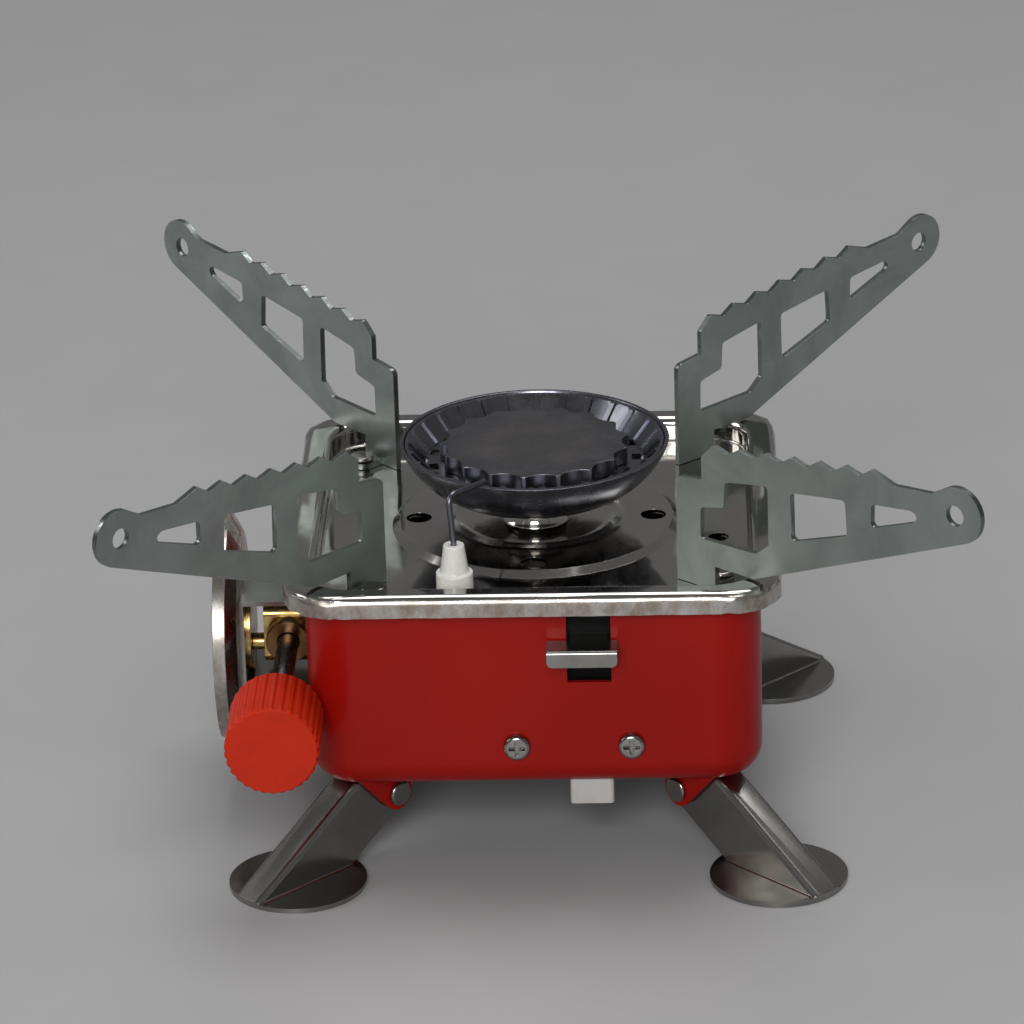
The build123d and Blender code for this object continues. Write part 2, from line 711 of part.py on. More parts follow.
# Valve body
with BuildPart() as valve_body:
    with BuildSketch(Plane.YZ.offset(valve_left)):
        with Locations((0, gas_height)):
            RectangleRounded(2 * valve_block_half, 2 * valve_block_half, valve_block_corner)
    extrude(amount=-body_half - valve_flange - valve_left)
    with BuildSketch(Plane.YZ.offset(-body_half)):
        with Locations((0, gas_height)):
            Circle(valve_flange_radius)
    extrude(amount=-valve_flange)
    with BuildSketch(Plane.YZ.offset(-body_half)):
        with Locations((0, gas_height)):
            Circle(valve_neck)
    extrude(amount=valve_neck_end + body_half)
    with BuildSketch(Plane.XZ.offset(-stem_boss_end)):
        with Locations((stem_at, gas_height)):
            Circle(stem_boss)
    extrude(amount=stem_boss_end)
    with BuildSketch(Plane.YZ.offset(valve_neck_end)):
        with Locations((0, gas_height)):
            Circle(jet_radius + running_gap)
    extrude(amount=-jet_engagement, mode=Mode.SUBTRACT)
    with BuildSketch(Plane.YZ.offset(valve_neck_end)):
        with Locations((0, gas_height)):
            Circle(gas_bore)
    extrude(amount=stem_at - valve_neck_end, mode=Mode.SUBTRACT)
    with BuildSketch(Plane.YZ.offset(valve_left)):
        with Locations(inlet_at):
            Circle(gas_bore)
    extrude(amount=stem_at - valve_left, mode=Mode.SUBTRACT)
    with BuildSketch(Plane.XZ.offset(-stem_boss_end)):
        with Locations((stem_at, gas_height)):
            Circle(stem_radius + running_gap)
    extrude(amount=stem_boss_end, mode=Mode.SUBTRACT)
    seal_outer = stem_radius + running_gap + 2 * seal_section + seat_gap
    with BuildSketch(Plane.XZ.offset(-stem_boss_end)):
        with Locations((stem_at, gas_height)):
            Circle(seal_outer)
    extrude(amount=-seal_behind - seal_section - seat_gap, mode=Mode.SUBTRACT)
valve_body.part.label = "valve_body"
export_step(valve_body.part, "parts/valve_body.step")

# Valve locknut inside the shell
with BuildPart() as valve_locknut:
    with BuildSketch(Plane.YZ.offset(-wall_inside)):
        with Locations((0, gas_height)):
            RegularPolygon(valve_nut_flats / 2, 6, major_radius=False)
            Circle(valve_neck + running_gap, mode=Mode.SUBTRACT)
    extrude(amount=valve_nut_length)
valve_locknut.part.label = "valve_locknut"
export_step(valve_locknut.part, "parts/valve_locknut.step")

# Gas jet
with BuildPart() as gas_jet:
    with BuildSketch(gas_plane):
        with BuildLine():
            shoulder = valve_neck_end + seat_gap
            jet_start = valve_neck_end - jet_engagement
            Polyline((jet_start, gas_bore / 2), (jet_start, jet_radius), (shoulder, jet_radius),
                     (shoulder, jet_shoulder), ((shoulder + jet_tip) / 2, jet_shoulder), (jet_tip, gas_bore),
                     (jet_tip, gas_bore / 2), close=True)
        make_face()
    revolve(axis=gas_axis)
gas_jet.part.label = "gas_jet"
export_step(gas_jet.part, "parts/gas_jet.step")

# Valve stem with its needle end
with BuildPart() as valve_stem:
    with BuildSketch(stem_plane):
        with BuildLine():
            Polyline((stem_start, 0), (stem_start - stem_radius, stem_radius),
                     (knob_rear - knob_bore_depth, stem_radius), (knob_rear - knob_bore_depth, 0), close=True)
        make_face()
    revolve(axis=stem_axis)
valve_stem.part.label = "valve_stem"
export_step(valve_stem.part, "parts/valve_stem.step")

# Seal ring round the stem
with BuildPart() as stem_seal:
    with BuildSketch(stem_plane):
        with Locations((stem_boss_end + seal_behind, stem_radius + running_gap + seal_section)):
            Circle(seal_section)
    revolve(axis=stem_axis)
stem_seal.part.label = "stem_seal"
export_step(stem_seal.part, "parts/stem_seal.step")

# Gland nut
with BuildPart() as gland_nut:
    with BuildSketch(Plane.XZ.offset(-stem_boss_end)):
        with Locations((stem_at, gas_height)):
            Circle(gland_radius)
            Circle(stem_radius + running_gap, mode=Mode.SUBTRACT)
    extrude(amount=gland_length)
gland_nut.part.label = "gland_nut"
export_step(gland_nut.part, "parts/gland_nut.step")

# Control knob
with BuildPart() as control_knob:
    with BuildSketch(stem_plane):
        with BuildLine():
            Line((knob_rear, 0), (knob_rear, knob_rear_radius))
            dome_at = (knob_rear - knob_dome_middle[0], knob_dome_middle[1])
            ThreePointArc((knob_rear, knob_rear_radius), dome_at, (knob_shoulder, knob_radius))
            Polyline((knob_shoulder, knob_radius), (knob_face + knob_edge, knob_radius),
                     (knob_face, knob_radius - knob_edge), (knob_face, 0), (knob_rear, 0))
        make_face()
    revolve(axis=stem_axis)
    with BuildSketch(Plane.XZ.offset(-knob_face)):
        with Locations((stem_at, gas_height)):
            with PolarLocations(knob_radius + knob_groove_out, knob_ridges):
                Circle(knob_groove)
    extrude(amount=knob_face - knob_rear, mode=Mode.SUBTRACT)
    with BuildSketch(Plane.XZ.offset(-knob_rear)):
        with Locations((stem_at, gas_height)):
            Circle(stem_radius + running_gap)
    extrude(amount=knob_bore_depth, mode=Mode.SUBTRACT)
control_knob.part.label = "control_knob"
export_step(control_knob.part, "parts/control_knob.step")

# Connector flange: the dish that faces left
with BuildPart() as connector_flange:
    with BuildSketch(gas_plane):
        with BuildLine():
            bend_back = flange_back - flange_bend
            hole = nose_seat + seat_gap
            Polyline((flange_back, hole), (flange_back, flange_flat), (bend_back, flange_radius),
                     (flange_front, flange_radius), (flange_front, flange_radius - flange_sheet),
                     (bend_back - flange_sheet / 2, flange_radius - flange_sheet),
                     (flange_back - flange_sheet, flange_flat - flange_sheet / 2),
                     (flange_back - flange_sheet, hole), close=True)
        make_face()
    revolve(axis=gas_axis)
    with BuildSketch(Plane.XY.offset(gas_height + flange_radius - flange_slot_depth)):
        with Locations(((flange_front + flange_back) / 2, 0)):
            Rectangle(2 * (flange_back - flange_front), flange_slot)
    extrude(amount=2 * flange_slot_depth, mode=Mode.SUBTRACT)
connector_flange.part.label = "connector_flange"
export_step(connector_flange.part, "parts/connector_flange.step")

# Connector nose
nose_tip = flange_back - nose_length
nose_end = flange_back + nose_boss_length
with BuildPart() as connector_nose:
    with BuildSketch(gas_plane):
        with BuildLine():
            flange_face = flange_back - flange_sheet
            Polyline((nose_tip, nose_bore), (nose_tip, nose_radius), (flange_face, nose_radius),
                     (flange_face, nose_seat), (flange_back, nose_seat), (flange_back, nose_boss),
                     (nose_end, nose_boss), (nose_end, 0), (flange_back, 0), (flange_back, nose_bore),
                     close=True)
        make_face()
    revolve(axis=gas_axis)
    with BuildSketch(Plane.YZ.offset(nose_end)):
        with Locations(inlet_at):
            Circle(gas_bore)
    extrude(amount=-nose_boss_length - nose_length / 2, mode=Mode.SUBTRACT)
connector_nose.part.label = "connector_nose"
export_step(connector_nose.part, "parts/connector_nose.step")

# Rubber seal on the nose
with BuildPart() as connector_seal:
    with BuildSketch(Plane.YZ.offset(nose_tip)):
        with Locations((0, gas_height)):
            Circle(connector_seal_radius)
            Circle(nose_bore, mode=Mode.SUBTRACT)
    extrude(amount=-connector_seal_height)
connector_seal.part.label = "connector_seal"
export_step(connector_seal.part, "parts/connector_seal.step")

# Inlet tube from the connector to the valve
with BuildPart() as inlet_tube:
    with BuildSketch(Plane.YZ.offset(nose_end)):
        with Locations(inlet_at):
            Circle(inlet_radius)
            Circle(gas_bore, mode=Mode.SUBTRACT)
    extrude(amount=valve_left - nose_end)
inlet_tube.part.label = "inlet_tube"
export_step(inlet_tube.part, "parts/inlet_tube.step")

# Bracket between the connector and the shell's left wall
with BuildPart() as connector_bracket:
    with BuildSketch(Plane.XZ):
        with BuildLine():
            inner_wall = -body_half - bracket_sheet
            Polyline((-body_half, bracket_top + bracket_top_tab), (inner_wall, bracket_top + bracket_top_tab),
                     (inner_wall, bracket_top), (flange_back, bracket_top), (flange_back, bracket_low),
                     (-body_half, bracket_low), (-body_half, bracket_low + bracket_bottom_tab),
                     (inner_wall, bracket_low + bracket_bottom_tab),
                     (inner_wall, bracket_low + bracket_sheet),
                     (flange_back + bracket_sheet, bracket_low + bracket_sheet),
                     (flange_back + bracket_sheet, bracket_top - bracket_sheet),
                     (-body_half, bracket_top - bracket_sheet), close=True)
        make_face()
    extrude(amount=bracket_half_width, both=True)
    with BuildSketch(Plane.YZ.offset(flange_back)):
        with Locations((0, gas_height)):
            Circle(nose_boss + seat_gap)
    extrude(amount=bracket_sheet, mode=Mode.SUBTRACT)
    with BuildSketch(Plane.YZ.offset(-body_half)):
        with Locations((0, gas_height)):
            Circle(valve_flange_radius + seat_gap)
        with Locations(*bracket_rivets_at):
            Circle(bracket_rivet)
    extrude(amount=-bracket_sheet, mode=Mode.SUBTRACT)
connector_bracket.part.label = "connector_bracket"
export_step(connector_bracket.part, "parts/connector_bracket.step")

# Bracket rivets
with BuildPart() as bracket_rivets:
    for y, z in bracket_rivets_at:
        with BuildSketch(Plane((-body_half - bracket_sheet, y, z), z_dir=(1, 0, 0))):
            Circle(bracket_rivet)
        extrude(amount=bracket_sheet + body_wall)
        with BuildSketch(Plane((-body_half - bracket_sheet, y, z), z_dir=(-1, 0, 0))):
            Circle(bracket_rivet_head)
        extrude(amount=bracket_rivet_head_height)
        with BuildSketch(Plane((-wall_inside, y, z), z_dir=(1, 0, 0))):
            Circle(bracket_rivet_head)
        extrude(amount=bracket_rivet_head_height)
bracket_rivets.part.label = "bracket_rivets"
export_step(bracket_rivets.part, "parts/bracket_rivets.step")

# Igniter case
with BuildPart() as igniter_case:
    with BuildSketch(Plane.XY.offset(case_bottom)):
        with Locations(case_centre):
            RectangleRounded(case_width, case_depth, case_corner)
    extrude(amount=case_top - case_bottom)
    with BuildSketch(Plane.XY.offset(spring_seat)):
        with Locations(case_centre):
            Rectangle(plunger_width + 2 * seat_gap, plunger_depth + 2 * seat_gap)
    extrude(amount=case_top - spring_seat, mode=Mode.SUBTRACT)
    with BuildSketch(Plane.XY.offset(case_bore_bottom)):
        with Locations(case_centre):
            Circle(case_bore_radius)
    extrude(amount=spring_seat - seat_gap - case_bore_bottom - body_wall, mode=Mode.SUBTRACT)
igniter_case.part.label = "igniter_case"
export_step(igniter_case.part, "parts/igniter_case.step")

# Igniter plunger
with BuildPart() as igniter_plunger:
    with BuildSketch(Plane.XY.offset(plunger_bottom)):
        with Locations(case_centre):
            Rectangle(plunger_width, plunger_depth)
    extrude(amount=lever_height - plunger_bottom)
igniter_plunger.part.label = "igniter_plunger"
export_step(igniter_plunger.part, "parts/igniter_plunger.step")

# Igniter spring, hidden in the case
with BuildPart() as igniter_spring:
    with BuildSketch(Plane.XY.offset(spring_seat)):
        with Locations(case_centre):
            Circle(spring_outer)
            Circle(spring_outer - spring_wall, mode=Mode.SUBTRACT)
    extrude(amount=plunger_bottom - spring_seat)
igniter_spring.part.label = "igniter_spring"
export_step(igniter_spring.part, "parts/igniter_spring.step")

# Hammer and crystal inside the case
with BuildPart() as igniter_hammer:
    with BuildSketch(Plane.XY.offset(hammer_bottom)):
        with Locations(case_centre):
            Circle(case_bore_radius - seat_gap)
    extrude(amount=spring_seat - body_wall - moving_gap - hammer_bottom)
igniter_hammer.part.label = "igniter_hammer"
export_step(igniter_hammer.part, "parts/igniter_hammer.step")

with BuildPart() as piezo_crystal:
    with BuildSketch(Plane.XY.offset(case_bore_bottom)):
        with Locations(case_centre):
            Circle(case_bore_radius - seat_gap)
    extrude(amount=piezo_top - case_bore_bottom)
piezo_crystal.part.label = "piezo_crystal"
export_step(piezo_crystal.part, "parts/piezo_crystal.step")

# Igniter lever: the tab is outside, the neck goes through the slot and an upright guard covers it inside
with BuildPart() as igniter_lever:
    with BuildSketch(Plane.XY.offset(lever_height)):
        with Locations((lever_middle, lever_front)):
            Rectangle(lever_neck, case_back - lever_front, align=(Align.CENTER, Align.MIN))
        with Locations((lever_middle + lever_tab_offset, lever_front)):
            Rectangle(lever_tab, lever_tab_back - lever_front, align=(Align.CENTER, Align.MIN))
    extrude(amount=lever_sheet)
    with BuildSketch(Plane.XZ.offset(-lever_front)) as lip:
        with Locations((lever_middle + lever_tab_offset, lever_height + lever_sheet)):
            Rectangle(lever_tab, lever_sheet + lever_lip, align=(Align.CENTER, Align.MAX))
        fillet(lip.vertices().group_by(Axis.Y)[0], lever_round)
    extrude(amount=-lever_sheet)
    with BuildSketch(Plane.XZ.offset(wall_inside - guard_room)):
        with Locations((lever_middle, guard_bottom)):
            Rectangle(slot_width + 2 * guard_overlap, guard_height, align=(Align.CENTER, Align.MIN))
    extrude(amount=-lever_sheet)
    bend = igniter_lever.edges().filter_by(Axis.X).group_by(Axis.Y)[0].sort_by(Axis.Z)[-1]
    fillet(bend, lever_bend)
igniter_lever.part.label = "igniter_lever"
export_step(igniter_lever.part, "parts/igniter_lever.step")

# Igniter bracket: a plate on the front wall with a strap round the case
with BuildPart() as igniter_bracket:
    with BuildSketch(Plane.XZ.offset(wall_inside - strap_sheet)):
        with Locations(((screw_at[0] + screw_at[1]) / 2, screw_height)):
            Rectangle(screw_at[1] - screw_at[0] + 2 * strap_margin, 2 * strap_half_height)
    extrude(amount=strap_sheet)
    with BuildSketch(Plane.XY.offset(screw_height - strap_half_height)):
        with Locations((lever_middle, -wall_inside)):
            Rectangle(case_width + 2 * seat_gap + 2 * strap_sheet,
                      wall_inside + case_back + seat_gap + strap_sheet, align=(Align.CENTER, Align.MIN))
    extrude(amount=2 * strap_half_height)
    with BuildSketch(Plane.XY.offset(screw_height - strap_half_height)):
        with Locations((lever_middle, -wall_inside + strap_sheet)):
            Rectangle(case_width + 2 * seat_gap, wall_inside - strap_sheet + case_back + seat_gap,
                      align=(Align.CENTER, Align.MIN))
    extrude(amount=2 * strap_half_height, mode=Mode.SUBTRACT)
    with BuildSketch(Plane.XZ.offset(wall_inside)):
        for x in screw_at:
            with Locations((x, screw_height)):
                Circle(screw_radius + running_gap)
    extrude(amount=-2 * strap_sheet, mode=Mode.SUBTRACT)
igniter_bracket.part.label = "igniter_bracket"
export_step(igniter_bracket.part, "parts/igniter_bracket.step")

# Igniter screws with crossed heads
with BuildPart() as igniter_screws:
    for x in screw_at:
        with BuildSketch(Plane.XZ.offset(body_half)):
            with Locations((x, screw_height)):
                Circle(screw_head)
        head = extrude(amount=screw_head_height)
        fillet(head.faces().sort_by(Axis.Y)[0].edges(), screw_head_height / 2)
        with BuildSketch(Plane.XZ.offset(body_half)):
            with Locations((x, screw_height)):
                Circle(screw_radius)
        extrude(amount=-screw_length)
        with BuildSketch(Plane.XZ.offset(body_half + screw_head_height)):
            with Locations((x, screw_height)):
                Rectangle(screw_cross_length, screw_cross)
                Rectangle(screw_cross, screw_cross_length)
        extrude(amount=-screw_cross_depth, mode=Mode.SUBTRACT)
igniter_screws.part.label = "igniter_screws"
export_step(igniter_screws.part, "parts/igniter_screws.step")

# Lead from the igniter to the electrode
lead_start = (case_left, electrode_at[1], lead_height)
with BuildPart() as ignition_lead:
    with BuildLine() as lead_path:
        FilletPolyline(lead_start, (*electrode_at, lead_height), (*electrode_at, insulator_foot),
                       radius=lead_bend)
    with BuildSketch(Plane(lead_start, z_dir=(-1, 0, 0))):
        Circle(lead_radius)
    sweep(path=lead_path.wires()[0])
ignition_lead.part.label = "ignition_lead"
export_step(ignition_lead.part, "parts/ignition_lead.step")

# Electrode insulator
with BuildPart() as electrode_insulator:
    with BuildSketch(Plane((*electrode_at, 0), x_dir=(1, 0, 0), z_dir=(0, -1, 0))):
        with BuildLine():
            hole = electrode_radius + running_gap
            base_bottom = tray_floor + seat_gap
            Polyline((hole, insulator_foot), (insulator_stem, insulator_foot), (insulator_stem, base_bottom),
                     (insulator_base, base_bottom), (insulator_base, insulator_shoulder),
                     (insulator_collar, insulator_shoulder), (insulator_top_radius, insulator_top),
                     (hole, insulator_top), close=True)
        make_face()
    revolve(axis=Axis((*electrode_at, 0), (0, 0, 1)))
electrode_insulator.part.label = "electrode_insulator"
export_step(electrode_insulator.part, "parts/electrode_insulator.step")

# Clip that holds the insulator under the tray
with BuildPart() as electrode_clip:
    with BuildSketch(Plane((*electrode_at, tray_under), z_dir=(0, 0, -1))):
        Circle(clip_radius)
        Circle(insulator_stem + running_gap, mode=Mode.SUBTRACT)
    extrude(amount=clip_sheet)
electrode_clip.part.label = "electrode_clip"
export_step(electrode_clip.part, "parts/electrode_clip.step")

# Electrode wire, bent over the burner's rim
wire_start = (*electrode_at, insulator_foot)
with BuildPart() as electrode_wire:
    with BuildLine() as wire_path:
        FilletPolyline(wire_start, (*electrode_at, insulator_top + electrode_lean),
                       (electrode_at[0] - electrode_lean, electrode_at[1], electrode_bend_height),
                       tuple(electrode_tip), radius=[electrode_lean_bend, electrode_bend])
    with BuildSketch(Plane(wire_start, z_dir=(0, 0, 1))):
        Circle(electrode_radius)
    sweep(path=wire_path.wires()[0])
electrode_wire.part.label = "electrode_wire"
export_step(electrode_wire.part, "parts/electrode_wire.step")
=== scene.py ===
"""Looks of a small folding camping gas stove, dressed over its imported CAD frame."""
import json
import math

import bmesh
import bpy
from mathutils import Matrix, Vector

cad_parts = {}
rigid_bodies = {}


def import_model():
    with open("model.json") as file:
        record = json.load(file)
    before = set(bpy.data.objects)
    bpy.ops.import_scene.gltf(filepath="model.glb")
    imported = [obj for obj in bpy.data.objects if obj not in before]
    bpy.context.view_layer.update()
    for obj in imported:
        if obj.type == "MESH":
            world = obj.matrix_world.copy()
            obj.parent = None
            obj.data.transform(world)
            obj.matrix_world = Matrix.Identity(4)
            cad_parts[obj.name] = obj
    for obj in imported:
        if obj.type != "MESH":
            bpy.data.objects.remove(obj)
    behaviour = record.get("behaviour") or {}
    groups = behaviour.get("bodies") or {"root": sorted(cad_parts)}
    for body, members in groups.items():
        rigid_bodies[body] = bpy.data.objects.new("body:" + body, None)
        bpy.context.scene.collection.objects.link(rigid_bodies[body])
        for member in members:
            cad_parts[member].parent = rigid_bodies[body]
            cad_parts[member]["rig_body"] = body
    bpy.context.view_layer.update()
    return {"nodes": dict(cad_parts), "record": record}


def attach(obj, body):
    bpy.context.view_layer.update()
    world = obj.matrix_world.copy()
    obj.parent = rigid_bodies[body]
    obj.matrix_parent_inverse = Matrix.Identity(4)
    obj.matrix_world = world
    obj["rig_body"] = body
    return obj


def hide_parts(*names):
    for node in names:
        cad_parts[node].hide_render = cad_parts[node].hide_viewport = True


bl_info = {
    "name": "Folding gas stove",
    "version": (1, 0, 0),
    "blender": (4, 5, 0),
    "location": "View3D > Sidebar > Stove",
    "description": "Dresses the CAD frame of a folding camping gas stove",
    "category": "Object",
}

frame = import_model()
MM = 0.001
LIP_REACH = 47.9 * MM
LIP_INSIDE = 44.0 * MM
LIP_TOP = 60.5 * MM
LIP_ROLL = 0.4 * MM
LIP_CUTS = (2.6 * MM, 3.4 * MM)
LIP_CORNER = 36.5 * MM
CORNER_ROLL = 0.8 * MM
FOOT_TOP = 1.0 * MM
SHELL_FLANGE = 18.9 * MM
SHELL_FRONT = -43.0 * MM
CORNERS = ("front_left", "front_right", "rear_right", "rear_left")
FLOOR_RADIUS = 5.0
AIM = Vector((0.0, 0.0, 0.05))
LAMPS = {
    "front": {"size": 0.5, "place": (-0.1, -1.1, 0.6)},
    "top": {"size": 0.8, "place": (0.15, 0.35, 1.15)},
    "side": {"size": 0.6, "place": (-1.1, 0.1, 0.75)},
}
HORIZON = (0.62, 0.62, 0.63, 1.0)
ZENITH = (0.42, 0.42, 0.43, 1.0)
MERGE = 0.0005 * MM
FLAT = math.radians(0.3)
SMOOTH = math.radians(40)
SLOT = {part["node"]: part["material_slot"] for part in frame["record"]["subparts"]}


# Shader maths

class Shade:
    """A value of a material's nodes: arithmetic on it adds Math nodes."""

    def __init__(self, tree, socket):
        self.tree = tree
        self.socket = socket

    def math(self, operation, *values):
        node = self.tree.nodes.new("ShaderNodeMath")
        node.operation = operation
        for slot, value in zip(node.inputs, values):
            plug(self.tree, slot, value)
        return Shade(self.tree, node.outputs[0])

    def __add__(self, other):
        return self.math("ADD", self, other)

    def __radd__(self, other):
        return self.math("ADD", other, self)

    def __sub__(self, other):
        return self.math("SUBTRACT", self, other)

    def __rsub__(self, other):
        return self.math("SUBTRACT", other, self)

    def __mul__(self, other):
        return self.math("MULTIPLY", self, other)

    def __rmul__(self, other):
        return self.math("MULTIPLY", other, self)

    def __truediv__(self, other):
        return self.math("DIVIDE", self, other)

    def __pow__(self, other):
        return self.math("POWER", self, other)

    def band(self, low, high):
        """0 at low, 1 at high, straight in between and level beyond."""
        return self.math("MINIMUM", self.math("MAXIMUM", (self - low) / (high - low), 0.0), 1.0)


def plug(tree, slot, value):
    """Links a Shade to a socket, or sets the socket to a plain value."""
    if isinstance(value, Shade):
        tree.links.new(value.socket, slot)
    elif slot.type == "RGBA":
        slot.default_value = (*value[:3], 1.0)
    else:
        slot.default_value = value


class Finish:
    """One material: its node tree, with short calls for the nodes that the finishes use."""

    def __init__(self, name):
        self.material = bpy.data.materials.new(name)
        self.material.use_nodes = True
        self.tree = self.material.node_tree
        self.surface = self.tree.nodes["Principled BSDF"]
        self.place = self.node("ShaderNodeTexCoord", out="Object")

    def node(self, kind, settings=None, out=0, **values):
        """Adds a node with its settings and inputs, and gives one of its outputs."""
        node = self.tree.nodes.new(kind)
        for key, value in (settings or {}).items():
            setattr(node, key, value)
        for key, value in values.items():
            plug(self.tree, node.inputs[key.replace("_", " ")], value)
        return Shade(self.tree, node.outputs[out])

    def stretched(self, scale, turn=(0.0, 0.0, 0.0)):
        return self.node("ShaderNodeMapping", Vector=self.place, Scale=scale, Rotation=turn)

    def noise(self, scale, detail=4.0, rough=0.5, at=None, warp=0.0):
        return self.node("ShaderNodeTexNoise", Vector=at or self.place, Scale=scale, Detail=detail,
                         Roughness=rough, Distortion=warp)

    def cells(self, scale, at=None):
        return self.node("ShaderNodeTexVoronoi", Vector=at or self.place, Scale=scale)

    def axis(self, name):
        return self.node("ShaderNodeSeparateXYZ", out=name, Vector=self.place)

    def mix(self, factor, first, second):
        node = self.tree.nodes.new("ShaderNodeMix")
        node.data_type = "RGBA"
        plug(self.tree, node.inputs[0], factor)
        plug(self.tree, node.inputs[6], first)
        plug(self.tree, node.inputs[7], second)
        return Shade(self.tree, node.outputs[2])

    def bump(self, height, depth, strength=1.0):
        return self.node("ShaderNodeBump", Height=height, Distance=depth, Strength=strength)

    def set(self, **values):
        for key, value in values.items():
            plug(self.tree, self.surface.inputs[key.replace("_", " ")], value)


def toned(colour, factor):
    """A colour made darker or lighter by a factor."""
    return tuple(min(1.0, channel * factor) for channel in colour)


# Finishes

def gloss_paint(name, tint):
    paint = Finish(name)
    drift = paint.noise(26, 3).band(0.3, 0.7)
    dust = paint.noise(520, 6, 0.65).band(0.58, 0.80)
    peel = paint.noise(1300, 2)
    paint.set(Base_Color=paint.mix(drift, toned(tint, 1.05), toned(tint, 0.84)), Roughness=0.34 + dust * 0.14,
              Specular_IOR_Level=0.14, Coat_Weight=0.08, Coat_Roughness=0.10,
              Normal=paint.bump(peel, 0.03 * MM, 0.5))


def polished_steel(name, tint):
    steel = Finish(name)
    smudge = steel.noise(70, 5, 0.6, warp=0.6).band(0.42, 0.72)
    scratch = steel.noise(240, 3, 0.6, at=steel.stretched((1.0, 14.0, 1.0), (0.0, 0.0, 0.5))).band(0.62, 0.70)
    wave = steel.noise(85, 1)
    x, y = steel.axis("X") / LIP_REACH, steel.axis("Y") / LIP_REACH
    lip = (x ** 8.0 + y ** 8.0).band(0.72, 0.86) * (LIP_TOP - steel.axis("Z")).band(0.2 * MM, 0.9 * MM)
    rust = steel.noise(330, 6, 0.7, at=steel.stretched((1.0, 1.0, 0.6))).band(0.40, 0.66)
    plain = steel.mix(smudge, tint, toned(tint, 0.86))
    worn = steel.mix(rust, toned(tint, 0.98), (tint[0] * 0.62, tint[1] * 0.52, tint[2] * 0.45))
    steel.set(Base_Color=steel.mix(lip, plain, worn), Metallic=1.0,
              Roughness=0.07 + smudge * 0.10 + scratch * 0.10 + lip * (0.14 + rust * 0.12),
              Normal=steel.bump(wave + lip * rust * 0.12, 0.30 * MM, 0.55))


def pressed_steel(name, tint):
    steel = Finish(name)
    smudge = steel.noise(90, 6, 0.62).band(0.38, 0.72)
    grain = steel.noise(900, 4, 0.6, at=steel.stretched((1.0, 1.0, 7.0)))
    steel.set(Base_Color=steel.mix(smudge, tint, toned(tint, 0.74)), Metallic=1.0,
              Roughness=0.17 + smudge * 0.12, Normal=steel.bump(grain, 0.006 * MM, 0.5))


def zinc_plate(name, tint):
    zinc = Finish(name)
    cloud = zinc.noise(55, 5, 0.6, warp=0.8).band(0.32, 0.70)
    spangle = zinc.cells(420)
    grain = zinc.noise(1700, 3)
    colour = zinc.mix(cloud, toned(tint, 1.12), toned(tint, 0.80))
    zinc.set(Base_Color=colour, Metallic=1.0, Roughness=0.30 + cloud * 0.12 + spangle * 0.12,
             Normal=zinc.bump(grain, 0.010 * MM, 0.5))


def sheared_edge(name, tint):
    edge = Finish(name)
    drag = edge.noise(700, 4, 0.6, at=edge.stretched((1.0, 1.0, 0.25)))
    bright = drag.band(0.52, 0.72)
    edge.set(Base_Color=edge.mix(bright, toned(tint, 0.46), toned(tint, 1.05)), Metallic=1.0,
             Roughness=0.34 - bright * 0.12, Normal=edge.bump(drag, 0.03 * MM, 0.6))


def heated_steel(name, tint):
    steel = Finish(name)
    x, y = steel.axis("X"), steel.axis("Y")
    out = (x * x + y * y) ** 0.5
    wander, blued_from, blued_to = 6 * MM, 12 * MM, 22 * MM
    blue = (out + steel.noise(120, 4, 0.6) * wander).band(blued_from, blued_to)
    soot = steel.noise(160, 6, 0.65).band(0.42, 0.72)
    straw = steel.mix(soot, toned(tint, 1.3), (tint[0] * 1.10, tint[1] * 1.0, tint[2] * 0.94))
    steel.set(Base_Color=steel.mix(blue * 0.6, straw, (tint[0] * 0.78, tint[1] * 0.86, tint[2] * 1.06)),
              Metallic=1.0, Roughness=0.22 + soot * 0.14,
              Normal=steel.bump(steel.noise(800, 3), 0.008 * MM, 0.5))


# Near-black matt finish, used only for painted shade: the shell's inside faces and the lever's faces behind
# its slot.
def painted_shade_skin(name, tint):
    skin = Finish(name)
    worn = skin.noise(300, 5, 0.6).band(0.45, 0.78)
    skin.set(Base_Color=skin.mix(worn, tint, toned(tint, 1.7)), Roughness=0.46 + worn * 0.16,
             Specular_IOR_Level=0.10, Normal=skin.bump(skin.noise(1400, 3), 0.015 * MM, 0.5))


def turned_brass(name, tint):
    brass = Finish(name)
    # Tarnish patches; on the gland nut's front face the tint that they darken is itself painted shade.
    tarnish = brass.noise(260, 5, 0.6).band(0.42, 0.75)
    lathe = brass.noise(900, 2, at=brass.stretched((1.0, 6.0, 1.0)))
    brown = (tint[0] * 0.62, tint[1] * 0.56, tint[2] * 0.45)
    brass.set(Base_Color=brass.mix(tarnish, tint, brown), Metallic=1.0, Roughness=0.20 + tarnish * 0.22,
              Normal=brass.bump(lathe, 0.010 * MM, 0.6))


def cast_metal(name, tint):
    cast = Finish(name)
    grit = cast.noise(1100, 4, 0.6)
    cloud = cast.noise(140, 4).band(0.35, 0.7)
    cast.set(Base_Color=cast.mix(cloud, tint, toned(tint, 0.7)), Metallic=1.0, Roughness=0.42 + cloud * 0.16,
             Normal=cast.bump(grit, 0.03 * MM, 0.8))


def moulded_plastic(name, tint):
    plastic = Finish(name)
    grain = plastic.noise(1600, 3, 0.6)
    rub = plastic.noise(190, 5, 0.6).band(0.45, 0.75)
    plastic.set(Base_Color=plastic.mix(rub, tint, toned(tint, 0.86)), Roughness=0.40 + rub * 0.14,
                Specular_IOR_Level=0.22, Normal=plastic.bump(grain, 0.02 * MM, 0.5))


